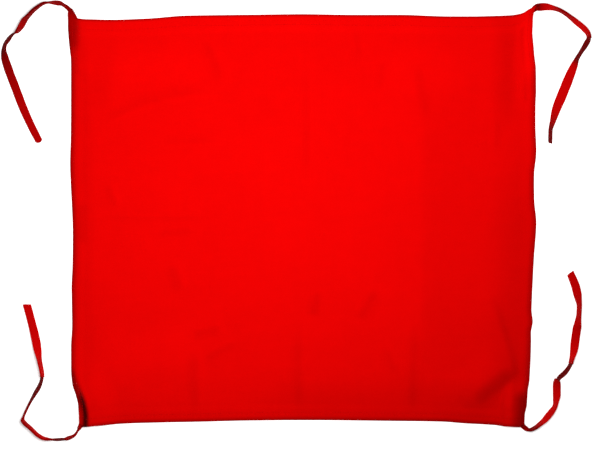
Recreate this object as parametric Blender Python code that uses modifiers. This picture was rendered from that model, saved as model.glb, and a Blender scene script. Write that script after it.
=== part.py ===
# Patka: a plain red cotton head cloth with a narrow tie at each corner.
# It lies flat on a surface, face up, with its four ties spread out loose.
# X points right, Y up the cloth, Z up from the surface. The origin is the cloth's centre on the surface.
# The tables are in millimetres and the model is in metres.

from collections import namedtuple

import bpy
import numpy as np
from mathutils import Vector

MM = 0.001
GAP = 0.3                  # clearance between one piece and the next

# Cloth
CLOTH_THICK = 1.0
CORNERS = {
    "bottom_left": (-271.0, -254.0),
    "bottom_right": (267.0, -253.0),
    "top_left": (-282.0, 254.0),
    "top_right": (282.0, 257.0),
}
INSET_REACH = 0.35         # share of the cloth's width over which an edge's own curve fades away

# Turned hems
HEM_THICK = 1.2
HEM_STEP = HEM_THICK + GAP
HEM_WIDTHS = {"left": 7.0, "right": 7.0, "bottom": 11.0, "top": 14.0}
HEM_RUNS = {"left": (64.0, 482.0), "right": (52.0, 480.0), "bottom": (26.0, 508.0), "top": (26.0, 518.0)}
HEM_OUTER = 2.2            # from the cloth's edge to the hem strip
HEM_SHOULDER = 0.4         # flat cloth past the hem strip's inner side
HEM_FALL = 3.5             # length over which the cloth comes down off the hem
ROLL_WIDTH = 1.9           # length over which the cloth's edge turns down outside the hem
ROLL_PROUD = 0.6           # how far the turned edge's upper skin stands outside its underside
OPEN_CORNER = (18.0, 32.0)  # distances from a corner between which the edge starts to turn down

# Ties
TIE_THICK = 1.2
TIE_FLOAT = 0.05
TIE_SECTIONS = 54

# Spacing of the cloth's sections
FIRST_STEP = 4.6
STEP_GROWTH = 1.2
WIDEST_STEP = 24.0

RED_CLOTH = (0.78, 0.006, 0.006, 1.0)
RED_HEM = (0.66, 0.005, 0.006, 1.0)
RED_TAPE = (0.46, 0.006, 0.010, 1.0)

# Each edge is drawn in from the straight line between its corners.
# Left and right run upwards, top and bottom run to the right.
EdgeRow = namedtuple("EdgeRow", "share inset")
EDGES = {
    "left": [EdgeRow(*row) for row in (
        (0.0, 0.0), (0.05, 0.0), (0.077, -2.5), (0.105, -6.6), (0.135, -7.5), (0.19, -7.2), (0.25, -5.2),
        (0.33, -5.0), (0.39, -3.2), (0.48, -2.0), (0.62, -3.5), (0.70, -1.8), (0.82, -0.3), (0.875, 0.2),
        (0.905, -1.1), (0.935, -2.2), (0.985, -2.8), (1.0, -1.0))],
    "right": [EdgeRow(*row) for row in (
        (0.0, 0.0), (0.027, 0.0), (0.055, -2.1), (0.085, -2.6), (0.112, -4.4), (0.2, -5.0), (0.225, -4.6),
        (0.25, -6.3), (0.28, -4.4), (0.34, -4.8), (0.4, -5.5), (0.48, -7.2), (0.54, -3.8), (0.6, -2.8),
        (0.65, -4.6), (0.71, -2.7), (0.85, -0.6), (0.88, 1.7), (0.91, 3.5), (0.937, 5.0), (0.965, 4.4),
        (0.985, 3.0), (1.0, 0.0))],
    "bottom": [EdgeRow(*row) for row in (
        (0.0, 0.0), (0.035, 3.0), (0.115, 6.0), (0.17, 6.8), (0.28, 7.9), (0.38, 9.1), (0.5, 9.5),
        (0.71, 8.3), (0.815, 7.4), (0.87, 5.2), (0.925, 3.5), (0.98, 0.6), (1.0, 0.0))],
    "top": [EdgeRow(*row) for row in (
        (0.0, 0.0), (0.008, 7.0), (0.018, 12.8), (0.045, 14.6), (0.095, 14.9), (0.17, 13.6), (0.25, 10.4),
        (0.38, 9.8), (0.49, 9.4), (0.61, 10.6), (0.71, 10.9), (0.81, 13.0), (0.87, 13.2), (0.945, 12.2),
        (0.97, 9.3), (0.985, 4.2), (1.0, 0.0))],
}

# A fold is a low ridge whose crest runs from one point to the next, bowed to its left or, below 0, its right.
Fold = namedtuple("Fold", "name x0 y0 x1 y1 bow height left right")
FOLDS = [
    Fold("top_left_pull", -269, 243, -267, 178, 1, 3.6, 24, 12),
    Fold("top_right_swell", 237, 240, 232, 150, 0, 2.4, 26, 28),
    Fold("top_right_edge", 277, 252, 275, 152, -2, 3.4, 15, 19),
    Fold("bottom_left_roll", -271, -192, -257, -256, 6, 5.0, 24, 10),
    Fold("bottom_right_slant", 190, -236, 266, -184, -3, 3.8, 30, 14),
    Fold("bottom_right_roll", 259, -200, 252, -256, -2, 4.2, 16, 24),
    Fold("bottom_right_long", 229, -98, 256, -186, 2, 1.8, 16, 16),
    Fold("upper_left_arc", -252, 108, -92, 152, 14, 1.5, 24, 26),
    Fold("lower_right_step", 134, -118, 131, -246, 0, 1.8, 24, 26),
    Fold("lower_middle_step", -5, -120, -6, -246, 0, 1.7, 24, 26),
    Fold("lower_left_step", -130, -152, -131, -246, 0, 1.7, 24, 26),
    Fold("upper_right_swell", 137, 188, 149, 112, 0, 1.4, 26, 26),
]

# A tie's centre line from its sewn end to its free end. Turn is 0 where the tape lies flat and 90 on edge:
# above 0 its upper face leans to the right of its run, and below 0 to the left.
TieRow = namedtuple("TieRow", "x y turn width")
TIES = {
    "tie_top_left": [TieRow(*row) for row in (
        (-274, 237, 0, 7), (-278.5, 246, 0, 6.5), (-283.5, 253, 0, 6), (-289, 256.6, 42, 8.5),
        (-294, 258.8, 46, 10), (-303, 259.7, 62, 10.5), (-310, 259.2, 84, 10.5), (-322.4, 252.2, 92, 10.5),
        (-331.8, 242.7, 102, 10.5), (-335.9, 238, 120, 10.5), (-339.4, 231.9, 124, 10.5),
        (-343.8, 225.4, 98, 10.5), (-351.4, 219.6, 58, 10.5), (-355.4, 214.7, 50, 10.5),
        (-359.6, 207.9, 54, 10.5), (-360.8, 201, 44, 10.5), (-360, 194, 23, 10.5), (-356, 180, 4, 10.5),
        (-348.4, 159.8, 2, 10.5), (-338, 132.5, 0, 10.2), (-329, 112.5, 0, 9.5), (-318, 91, 0, 9))],
    "tie_top_right": [TieRow(*row) for row in (
        (265, 240, 0, 7), (276, 250, 0, 6.5), (283.5, 254.5, 6, 9), (290.5, 254.5, 34, 10),
        (297.4, 253.5, 56, 10), (304.3, 251.8, 74, 10), (310.6, 249.3, 84, 10), (322.4, 241.3, 74, 10),
        (328.4, 236.4, 62, 10), (339.1, 227.2, 62, 10.5), (343.1, 221.6, 76, 10.5), (344.1, 217.8, 82, 10.5),
        (343.9, 215, 114, 10.5), (341.1, 210.1, 130, 10.5), (333.4, 197.9, 121, 10.5),
        (329.8, 191.6, 128, 10.5), (326.8, 183.9, 154, 10.5), (323.2, 175, 178, 11), (317.4, 161, 187, 12),
        (310.9, 144.6, 183, 12), (305.3, 131, 166, 11.4), (300.9, 117, 138, 11), (297.9, 105.2, 127, 10.5),
        (297.5, 90, 122, 10.5))],
    "tie_bottom_left": [TieRow(*row) for row in (
        (-262, -238, 0, 7), (-268.5, -250, 0, 6), (-272, -256, 8, 6), (-275.9, -261.6, 66, 9),
        (-282.8, -265, 72, 10), (-290.3, -266.4, 108, 10.5), (-297.1, -267, 107, 10.5),
        (-304.3, -266.7, 97, 10.5), (-311.7, -265.7, 88, 10.5), (-318.4, -262.4, 87, 10.5),
        (-329.1, -252.6, 86, 10.5), (-334.8, -247.7, 84, 10.5), (-338, -243, 88, 10.5),
        (-336, -237.2, 100, 10.5), (-329.4, -223, 104, 10.5), (-322.6, -210.7, 120, 10.5),
        (-318.6, -204.2, 123, 10.5), (-315.7, -197.2, 118, 10.5), (-314.8, -192.7, 113, 10.5),
        (-314.4, -189.4, 83, 10.5), (-315.3, -182.9, 76, 10.5), (-317.2, -173.9, 73, 10.5),
        (-319.4, -162.4, 47, 10.5), (-322.5, -147.9, 14, 10.5), (-329.5, -120, 0, 10),
        (-333.8, -104, 0, 10))],
    "tie_bottom_right": [TieRow(*row) for row in (
        (259, -242, 0, 7), (266.5, -252.5, 0, 6), (273, -255.4, -60, 7.5), (279.5, -252.5, -80, 10),
        (284.9, -248.3, -76, 10.5), (290.3, -243.8, -64, 10.5), (295.2, -238.4, -54, 10.5),
        (299.4, -233, -59, 10.5), (303.4, -226.2, -72, 10.5), (304.6, -219.3, -55, 10.5),
        (305.6, -212.5, -36, 10.5), (305.6, -205, -36, 10.5), (305.6, -198.8, -50, 10.5),
        (306.1, -195.2, -70, 10.5), (308.7, -192.2, -124, 10.5), (314.5, -187.2, -133, 10.5),
        (318.9, -181.7, -129, 10.5), (321.9, -176.2, -116, 10.5), (322.7, -172.8, -78, 10.5),
        (324, -167.9, -65, 10.5), (326.5, -158, -36, 10.5), (328.3, -147.5, -4, 10.5),
        (329.9, -136.5, -6, 10.5), (330.9, -126, -52, 10.5), (332, -115.5, -71, 10.5),
        (332.4, -106, -68, 10.5), (331.4, -97.5, -48, 10.5), (329.3, -85, -12, 10.5), (322.3, -66, 0, 9.5))],
}


def smooth_curve(knots, values, at):
    # A cubic through the rows of a table that makes no bulge between two rows.
    knots = np.asarray(knots, float)
    values = np.asarray(values, float)
    spans = np.diff(knots)
    rises = np.diff(values) / spans
    slopes = np.zeros_like(values)
    slopes[0] = rises[0]
    slopes[-1] = rises[-1]
    for i in range(1, len(values) - 1):
        if rises[i - 1] * rises[i] > 0:
            before = 2 * spans[i] + spans[i - 1]
            after = spans[i] + 2 * spans[i - 1]
            slopes[i] = (before + after) / (before / rises[i - 1] + after / rises[i])
    at = np.clip(at, knots[0], knots[-1])
    span = np.clip(np.searchsorted(knots, at, side="right") - 1, 0, len(spans) - 1)
    width = spans[span]
    t = (at - knots[span]) / width
    rest = 1 - t
    return (values[span] * (1 + 2 * t) * rest ** 2 + slopes[span] * width * t * rest ** 2
            + values[span + 1] * (1 + 2 * rest) * t ** 2 - slopes[span + 1] * width * rest * t ** 2)


def ease(t):
    # Rises smoothly from 0 to 1.
    t = np.clip(t, 0.0, 1.0)
    return t * t * (3 - 2 * t)


def edge_inset(edge, share):
    rows = EDGES[edge]
    inset = smooth_curve([row.share for row in rows], [row.inset for row in rows], share)
    return inset + ROLL_PROUD


def side_length(first, second):
    return float(np.hypot(*np.subtract(CORNERS[first], CORNERS[second])))


CLOTH_WIDTH = (side_length("top_left", "top_right") + side_length("bottom_left", "bottom_right")) / 2
CLOTH_HEIGHT = (side_length("top_left", "bottom_left") + side_length("top_right", "bottom_right")) / 2


def cloth_plan(u, v):
    # The cloth's place on the surface, for shares u to the right and v upwards.
    plan = np.zeros(u.shape + (2,))
    for side, share in (("left", 1 - u), ("right", u)):
        for end, level in (("bottom", 1 - v), ("top", v)):
            plan += (share * level)[..., None] * np.array(CORNERS[end + "_" + side])
    plan[..., 0] += edge_inset("left", v) * (1 - ease(u / INSET_REACH))
    plan[..., 0] -= edge_inset("right", v) * (1 - ease((1 - u) / INSET_REACH))
    plan[..., 1] += edge_inset("bottom", u) * (1 - ease(v / INSET_REACH))
    plan[..., 1] -= edge_inset("top", u) * (1 - ease((1 - v) / INSET_REACH))
    return plan


def fold_lift(plan, fold, pieces=12):
    # The height of one fold's ridge, which fades towards both of its ends and flanks.
    start = np.array((fold.x0, fold.y0), float)
    run = np.array((fold.x1, fold.y1), float) - start
    leftward = np.array((-run[1], run[0])) / np.hypot(*run)
    along = np.linspace(0, 1, pieces + 1)
    crest = start + along[:, None] * run + (4 * along * (1 - along))[:, None] * fold.bow * leftward
    nearest = np.full(plan.shape[:-1], np.inf)
    lean = np.zeros_like(nearest)
    share = np.zeros_like(nearest)
    for i in range(pieces):
        step = crest[i + 1] - crest[i]
        away = plan - crest[i]
        t = np.clip((away @ step) / (step @ step), 0, 1)
        off = away - t[..., None] * step
        distance = np.hypot(off[..., 0], off[..., 1])
        closer = distance < nearest
        nearest = np.where(closer, distance, nearest)
        cross = (step[0] * away[..., 1] - step[1] * away[..., 0]) / np.hypot(*step)
        lean = np.where(closer, cross / np.maximum(distance, 1e-6), lean)
        share = np.where(closer, (i + t) / pieces, share)
    reach = fold.right + (fold.left - fold.right) * ease(0.5 + 0.5 * lean)
    flank = np.clip(nearest / reach, 0, 1)
    ends = ease(share / 0.3) * ease((1 - share) / 0.3) if fold.height < 2 else ease(share / 0.4 + 0.4)
    return fold.height * ends * (1 - flank ** 2) ** 2


def cloth_lift(plan):
    # Where folds cross, the higher one shows.
    return np.max([fold_lift(plan, fold) for fold in FOLDS], axis=0)


def hem_lift(u, v):
    # The cloth passes over its turned hems, and its edge turns down outside them.
    to_edge = {"left": u * CLOTH_WIDTH, "right": (1 - u) * CLOTH_WIDTH,
               "bottom": v * CLOTH_HEIGHT, "top": (1 - v) * CLOTH_HEIGHT}
    over_hem = np.max([
        1 - ease((distance - HEM_WIDTHS[edge] - HEM_SHOULDER) / HEM_FALL)
        for edge, distance in to_edge.items()], axis=0)
    to_side = np.minimum(to_edge["left"], to_edge["right"])
    to_end = np.minimum(to_edge["bottom"], to_edge["top"])
    to_corner = np.hypot(to_side, to_end)
    turned = ease((to_corner - OPEN_CORNER[0]) / (OPEN_CORNER[1] - OPEN_CORNER[0]))
    rim = np.clip(np.minimum(to_side, to_end) / ROLL_WIDTH, 0, 1)
    return HEM_STEP * over_hem * (1 - turned * (1 - rim * (2 - rim)))


def stations(length, first_hem, last_hem):
    # Distances of the cloth's sections, close together over the hems and wide apart in the middle.
    def from_edge(hem):
        shoulder = hem + HEM_SHOULDER
        marks = [0.0, ROLL_WIDTH / 2, ROLL_WIDTH, (ROLL_WIDTH + shoulder) / 2, shoulder, shoulder + HEM_FALL]
        step = FIRST_STEP
        while step < WIDEST_STEP:
            marks.append(marks[-1] + step)
            step *= STEP_GROWTH
        return marks

    first = from_edge(first_hem)
    last = [length - mark for mark in reversed(from_edge(last_hem))]
    pieces = int(np.ceil((last[0] - first[-1]) / WIDEST_STEP))
    middle = np.linspace(first[-1], last[0], pieces + 1)[1:-1]
    return np.concatenate((first, middle, last))


ACROSS = stations(CLOTH_WIDTH, HEM_WIDTHS["left"], HEM_WIDTHS["right"])
UPWARD = stations(CLOTH_HEIGHT, HEM_WIDTHS["bottom"], HEM_WIDTHS["top"])


def stations_between(marks, low, high):
    inside = marks[(marks > low + 1) & (marks < high - 1)]
    return np.concatenate(([low], inside, [high]))


def cloth_material(name, colour, roughness):
    material = bpy.data.materials.new(name)
    material.use_nodes = True
    shader = material.node_tree.nodes["Principled BSDF"]
    shader.inputs["Base Color"].default_value = colour
    shader.inputs["Roughness"].default_value = roughness
    shader.inputs["Metallic"].default_value = 0.0
    material.diffuse_color = colour
    return material


def make_sheet(name, places, thickness, grow, material, collection):
    # A grid of cells laid over the given places, thickened along its own normals.
    rows, columns = places.shape[:2]
    bpy.ops.mesh.primitive_grid_add(x_subdivisions=columns - 1, y_subdivisions=rows - 1, size=2)
    sheet = bpy.context.object
    for vertex in sheet.data.vertices:
        column = round((vertex.co.x + 1) / 2 * (columns - 1))
        row = round((vertex.co.y + 1) / 2 * (rows - 1))
        vertex.co = Vector(places[row, column]) * MM
    sheet.name = name
    sheet.data.name = name
    sheet.data.materials.append(material)
    solidify = sheet.modifiers.new("thickness", "SOLIDIFY")
    solidify.thickness = thickness * MM
    solidify.offset = grow
    for holder in sheet.users_collection:
        holder.objects.unlink(sheet)
    collection.objects.link(sheet)
    return sheet


def make_panel(collection):
    u, v = np.meshgrid(ACROSS / CLOTH_WIDTH, UPWARD / CLOTH_HEIGHT)
    plan = cloth_plan(u, v)
    height = cloth_lift(plan) + hem_lift(u, v)
    material = cloth_material("panel_cotton", RED_CLOTH, 0.85)
    make_sheet("panel", np.dstack((plan, height)), CLOTH_THICK, 1, material, collection)


def make_hem(edge, collection):
    low, high = HEM_RUNS[edge]
    hem = HEM_WIDTHS[edge]
    deep = np.array((HEM_OUTER, (ROLL_WIDTH + hem + HEM_SHOULDER) / 2, hem))
    if edge in ("left", "right"):
        marks = stations_between(UPWARD, low, high) / CLOTH_HEIGHT
        inward = deep / CLOTH_WIDTH if edge == "left" else 1 - deep[::-1] / CLOTH_WIDTH
        u, v = np.meshgrid(inward, marks)
    else:
        marks = stations_between(ACROSS, low, high) / CLOTH_WIDTH
        inward = deep / CLOTH_HEIGHT if edge == "bottom" else 1 - deep[::-1] / CLOTH_HEIGHT
        u, v = np.meshgrid(marks, inward)
    plan = cloth_plan(u, v)
    material = cloth_material("hem_" + edge + "_cotton", RED_HEM, 0.85)
    make_sheet("hem_" + edge, np.dstack((plan, cloth_lift(plan))), HEM_THICK, 1, material, collection)


def tie_places(rows, sections, across=(-0.5, 0.0, 0.5)):
    # The tape's sections, each turned about its centre line and standing on the surface.
    route = np.array([(row.x, row.y) for row in rows], float)
    travelled = np.concatenate(([0], np.cumsum(np.hypot(*np.diff(route, axis=0).T))))
    at = np.linspace(0, travelled[-1], sections)
    centre = np.column_stack([smooth_curve(travelled, route[:, axis], at) for axis in (0, 1)])
    turn = np.radians(smooth_curve(travelled, [row.turn for row in rows], at))
    width = smooth_curve(travelled, [row.width for row in rows], at)
    heading = np.gradient(centre, axis=0)
    heading /= np.hypot(*heading.T)[:, None]
    leftward = np.column_stack((-heading[:, 1], heading[:, 0]))
    stand = width / 2 * np.abs(np.sin(turn)) + TIE_THICK / 2 * np.abs(np.cos(turn)) + TIE_FLOAT
    places = np.zeros((sections, len(across), 3))
    for column, share in enumerate(across):
        reach = share * width
        places[:, column, :2] = centre + (reach * np.cos(turn))[:, None] * leftward
        places[:, column, 2] = stand + reach * np.sin(turn)
    return places


def make_tie(name, rows, collection):
    places = tie_places(rows, TIE_SECTIONS)
    material = cloth_material(name + "_tape", RED_TAPE, 0.8)
    make_sheet(name, places, TIE_THICK, 0, material, collection)


def main():
    for old in list(bpy.data.objects):
        bpy.data.objects.remove(old, do_unlink=True)
    collection = bpy.data.collections.new("patka")
    bpy.context.scene.collection.children.link(collection)
    make_panel(collection)
    for edge in HEM_WIDTHS:
        make_hem(edge, collection)
    for name, rows in TIES.items():
        make_tie(name, rows, collection)


main()
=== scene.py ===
import math
from collections import namedtuple

import bmesh
import bpy
import numpy as np
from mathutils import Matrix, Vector, noise


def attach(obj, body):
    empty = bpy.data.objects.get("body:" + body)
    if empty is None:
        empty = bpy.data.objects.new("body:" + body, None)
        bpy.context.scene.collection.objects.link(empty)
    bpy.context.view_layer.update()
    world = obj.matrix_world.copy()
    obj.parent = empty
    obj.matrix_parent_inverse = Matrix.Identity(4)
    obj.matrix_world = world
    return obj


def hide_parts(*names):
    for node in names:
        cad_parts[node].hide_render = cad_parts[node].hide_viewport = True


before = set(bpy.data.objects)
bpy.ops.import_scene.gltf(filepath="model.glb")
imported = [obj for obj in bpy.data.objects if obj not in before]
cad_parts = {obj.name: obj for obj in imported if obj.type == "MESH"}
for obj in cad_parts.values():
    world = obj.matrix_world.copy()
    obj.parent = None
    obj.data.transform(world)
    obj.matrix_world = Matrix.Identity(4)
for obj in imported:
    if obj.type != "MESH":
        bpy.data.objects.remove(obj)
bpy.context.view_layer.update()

mm = 0.001


# Camera, light and floor
view = {
    "photoSize": (600, 450),        # pixels
    "mmPerPixel": 1.208,
    "originPixel": (303.25, 218.0),  # where the photograph shows the middle of the cloth
    "lens": 85.0,
    "sensor": 36.0,
    "farClip": 20,
}
studio = {
    "lightPlace": (0.074, 0.048, 0.881),
    "lightAim": (-0.60, 0.53, -1.0),
    "lightSize": 0.42,
    "lightPower": 14.6,
    "skyStrength": 0.04,
    "floorColour": (0.86, 0.86, 0.86, 1.0),
    "floorGlow": 0.55,       # the pale table is lit a little from below
    "floorRoughness": 0.9,
    "floorSpecular": 0.1,
    "floorSize": 30.0,
    "floorDrop": 0.0001,
}


def makeCamera():
    centreX = (view["photoSize"][0] / 2 - view["originPixel"][0]) * view["mmPerPixel"] * mm
    centreY = (view["originPixel"][1] - view["photoSize"][1] / 2) * view["mmPerPixel"] * mm
    seenWidth = view["photoSize"][0] * view["mmPerPixel"] * mm
    data = bpy.data.cameras.new("camera")
    data.lens = view["lens"]
    data.sensor_width = view["sensor"]
    data.clip_end = view["farClip"]
    camera = bpy.data.objects.new("camera", data)
    camera.location = (centreX, centreY, seenWidth * view["lens"] / view["sensor"])
    bpy.context.scene.collection.objects.link(camera)
    bpy.context.scene.camera = camera


def makeStudio():
    light = bpy.data.lights.new("softbox", "AREA")
    light.size = studio["lightSize"]
    light.energy = studio["lightPower"]
    softbox = bpy.data.objects.new("softbox", light)
    softbox.location = studio["lightPlace"]
    softbox.rotation_euler = Vector(studio["lightAim"]).to_track_quat("-Z", "Y").to_euler()
    bpy.context.scene.collection.objects.link(softbox)
    world = bpy.data.worlds.new("sky")
    world.use_nodes = True
    world.node_tree.nodes["Background"].inputs["Color"].default_value = (1, 1, 1, 1)
    world.node_tree.nodes["Background"].inputs["Strength"].default_value = studio["skyStrength"]
    bpy.context.scene.world = world
    bpy.ops.object.select_all(action="DESELECT")
    bpy.ops.mesh.primitive_plane_add(size=studio["floorSize"], location=(0, 0, -studio["floorDrop"]))
    floor = bpy.context.object
    floor.name = "floor"
    paper = bpy.data.materials.new("palePaper")
    paper.use_nodes = True
    shader = paper.node_tree.nodes["Principled BSDF"]
    shader.inputs["Base Color"].default_value = studio["floorColour"]
    shader.inputs["Roughness"].default_value = studio["floorRoughness"]
    shader.inputs["Specular IOR Level"].default_value = studio["floorSpecular"]
    shader.inputs["Emission Color"].default_value = (1, 1, 1, 1)
    shader.inputs["Emission Strength"].default_value = studio["floorGlow"]
    floor.data.materials.append(paper)
    bpy.context.scene.view_settings.view_transform = "Standard"  # keeps the dye's pure red


makeCamera()
makeStudio()
print("camera, light and floor ready")


# Curves through tables
def smoothCurve(knots, values, at):
    # a cubic through the rows of a table that makes no bulge between two rows
    knots = np.asarray(knots, float)
    values = np.asarray(values, float)
    spans = np.diff(knots)
    rises = np.diff(values) / spans
    slopes = np.zeros_like(values)
    slopes[0] = rises[0]
    slopes[-1] = rises[-1]
    for i in range(1, len(values) - 1):
        if rises[i - 1] * rises[i] > 0:
            before = 2 * spans[i] + spans[i - 1]
            after = spans[i] + 2 * spans[i - 1]
            slopes[i] = (before + after) / (before / rises[i - 1] + after / rises[i])
    at = np.clip(at, knots[0], knots[-1])
    span = np.clip(np.searchsorted(knots, at, side="right") - 1, 0, len(spans) - 1)
    width = spans[span]
    t = (at - knots[span]) / width
    rest = 1 - t
    return (values[span] * (1 + 2 * t) * rest ** 2 + slopes[span] * width * t * rest ** 2
            + values[span + 1] * (1 + 2 * rest) * t ** 2 - slopes[span + 1] * width * rest * t ** 2)


def ease(t):
    t = np.clip(t, 0.0, 1.0)
    return t * t * (3 - 2 * t)


# Materials
def calc(tree, operation, first, second=None, third=None):
    node = tree.nodes.new("ShaderNodeMath")
    node.operation = operation
    for socket, value in zip(node.inputs, (first, second, third)):
        if value is None:
            continue
        if isinstance(value, (int, float)):
            socket.default_value = value
        else:
            tree.links.new(value, socket)
    return node.outputs[0]


def noiseOf(tree, place, stretch, detail=2.0, roughness=0.5):
    # noise over the cloth's own metres, stretched by a scale each way
    scaled = tree.nodes.new("ShaderNodeVectorMath")
    scaled.operation = "MULTIPLY"
    tree.links.new(place, scaled.inputs[0])
    scaled.inputs[1].default_value = stretch
    cloud = tree.nodes.new("ShaderNodeTexNoise")
    cloud.inputs["Scale"].default_value = 1.0
    cloud.inputs["Detail"].default_value = detail
    cloud.inputs["Roughness"].default_value = roughness
    tree.links.new(scaled.outputs[0], cloud.inputs["Vector"])
    return calc(tree, "SUBTRACT", cloud.outputs["Fac"], 0.5)


def dyeWith(tree, shader, colour, tone):
    dye = tree.nodes.new("ShaderNodeVectorMath")
    dye.operation = "SCALE"
    dye.inputs[0].default_value = colour
    tree.links.new(tone, dye.inputs["Scale"])
    tree.links.new(dye.outputs[0], shader.inputs["Base Color"])


def attributeOf(tree, name):
    node = tree.nodes.new("ShaderNodeAttribute")
    node.attribute_name = name
    return node.outputs["Fac"]


# Each noise in the cotton: its repeats for a metre across and along, its detail and its roughness.
cottonGrain = {
    "warpSlub": ((1500, 45, 1), 2.0, 0.5),
    "weftSlub": ((45, 1500, 1), 2.0, 0.5),
    "fuzz": ((3200, 3200, 1), 2.0, 0.7),
    "cloudy": ((14, 14, 1), 3.0, 0.55),
    "patchy": ((62, 62, 1), 2.0, 0.6),
    "warpStreak": ((110, 16, 1), 2.0, 0.5),
    "weftStreak": ((16, 110, 1), 2.0, 0.5),
}


def cottonMaterial(name, look):
    # plain-woven dyed cotton: crossing threads, slubs and uneven dye, with painted shade and painted light
    # from marks on the piece (the shade along the rim partly the deeper colour of doubled cloth)
    material = bpy.data.materials.new(name)
    material.use_nodes = True
    tree = material.node_tree
    shader = tree.nodes["Principled BSDF"]
    uv = tree.nodes.new("ShaderNodeUVMap")
    uv.uv_map = "cut"
    place = uv.outputs["UV"]
    parts = tree.nodes.new("ShaderNodeSeparateXYZ")
    tree.links.new(place, parts.inputs[0])
    across, along = parts.outputs[0], parts.outputs[1]

    turn = math.pi / (look["threadPitch"] * mm)
    warpWave = calc(tree, "SINE", calc(tree, "MULTIPLY", across, turn))
    weftWave = calc(tree, "SINE", calc(tree, "MULTIPLY", along, turn))
    crossing = calc(tree, "MULTIPLY", warpWave, weftWave)
    warpTop = calc(tree, "MULTIPLY_ADD", crossing, 0.5, 0.5)
    weftTop = calc(tree, "SUBTRACT", 1.0, warpTop)
    warp = calc(tree, "MULTIPLY", calc(tree, "ABSOLUTE", warpWave), warpTop)
    weft = calc(tree, "MULTIPLY", calc(tree, "ABSOLUTE", weftWave), weftTop)
    weave = calc(tree, "ADD", warp, weft)

    grain = {kind: noiseOf(tree, place, *settings) for kind, settings in cottonGrain.items()}
    slub = calc(tree, "ADD", grain["warpSlub"], grain["weftSlub"])
    streaky = calc(tree, "ADD", grain["warpStreak"], grain["weftStreak"])

    evenWeave = calc(tree, "SUBTRACT", weave, look["weaveMiddle"])
    tone = calc(tree, "MULTIPLY_ADD", evenWeave, look["weaveTone"], 1.0)
    for cloud, amount in ((slub, "slubTone"), (grain["cloudy"], "cloudTone"),
                          (grain["patchy"], "patchTone"), (streaky, "streakTone")):
        tone = calc(tree, "MULTIPLY_ADD", cloud, look[amount], tone)
    # the marks darken the dye as painted shade, or lighten it as painted light where an amount is below 0
    for attribute, amount in look["paintedShading"].items():
        left = calc(tree, "MULTIPLY_ADD", attributeOf(tree, attribute), -amount, 1.0)
        tone = calc(tree, "MULTIPLY", tone, left)
    dyeWith(tree, shader, look["colour"], tone)

    relief = calc(tree, "MULTIPLY_ADD", slub, look["slubRelief"], weave)
    relief = calc(tree, "MULTIPLY_ADD", grain["fuzz"], look["fuzzRelief"], relief)
    for attribute, axis, period, depth in look["puckers"]:
        wave = calc(tree, "SINE", calc(tree, "MULTIPLY", along if axis == "along" else across,
                                       2 * math.pi / (period * mm)))
        ripple = calc(tree, "MULTIPLY", wave, attributeOf(tree, attribute))
        relief = calc(tree, "MULTIPLY_ADD", ripple, depth, relief)
    bump = tree.nodes.new("ShaderNodeBump")
    bump.inputs["Strength"].default_value = 1.0
    bump.inputs["Distance"].default_value = look["reliefDepth"] * mm
    tree.links.new(relief, bump.inputs["Height"])
    tree.links.new(bump.outputs[0], shader.inputs["Normal"])

    rough = calc(tree, "MULTIPLY_ADD", slub, look["slubRoughness"], look["roughness"])
    tree.links.new(rough, shader.inputs["Roughness"])
    shader.inputs["Specular IOR Level"].default_value = look["specular"]
    shader.inputs["Specular Tint"].default_value = (*look["shine"], 1.0)
    shader.inputs["Sheen Weight"].default_value = look["sheen"]
    shader.inputs["Sheen Roughness"].default_value = look["sheenRoughness"]
    shader.inputs["Sheen Tint"].default_value = (*look["shine"], 1.0)
    return material


# Cloth panel: the CAD panel's edges and nearly the same folds, with finer creases
EdgeRow = namedtuple("EdgeRow", "share inset")
Fold = namedtuple("Fold", "name x0 y0 x1 y1 bow height left right")

clothCut = {
    "corners": {
        "bottomLeft": (-271.0, -254.0), "bottomRight": (267.0, -253.0),
        "topLeft": (-282.0, 254.0), "topRight": (282.0, 257.0),
    },
    "thickness": 0.8,
    "insetReach": 0.35,
    "hemStep": 1.5,
    "hemWidths": {"left": 7.0, "right": 7.0, "bottom": 11.0, "top": 14.0},
    "hemShoulder": 0.4,
    "hemFall": 8.0,
    "rollWidth": 4.2,
    "rollProud": 0.5,
    # painted shade along each side over this width, partly the deeper colour of the doubled hem
    "rimShade": {"left": 7.0, "right": 8.0, "bottom": 5.6, "top": 4.0},
    "openCorner": (18.0, 32.0),
    "rimSteps": (0.0, 0.25, 0.65, 1.2, 1.9, 2.8, 4.0, 5.4),
    "fineStep": 1.75,
    "fineReach": 34.0,
    "wideStep": 2.85,
    "rumple": ((1.3, 95.0), (0.5, 34.0)),   # height and length of the cloth's loose swells
    "rumpleSoftness": 0.02,
    "creaseFade": (40.0, 0.3),      # creases and swells grow over this length, from this share of it in
    "creaseSlope": (0.35, 0.6),     # the slope where painted shade starts on a crease, and over how much more it deepens
    "creaseInside": 3.0,
    "paintedLightOverRim": 6,
    "shadeSpread": 0.6,
    "sharpAngle": 50,
}
lowFold = {"below": 2, "fade": 0.3}         # a low fold fades at both ends, over this share of its length
tallFold = {"fade": 0.4, "start": 0.4}      # a tall one starts partly risen and keeps its far end
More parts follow.
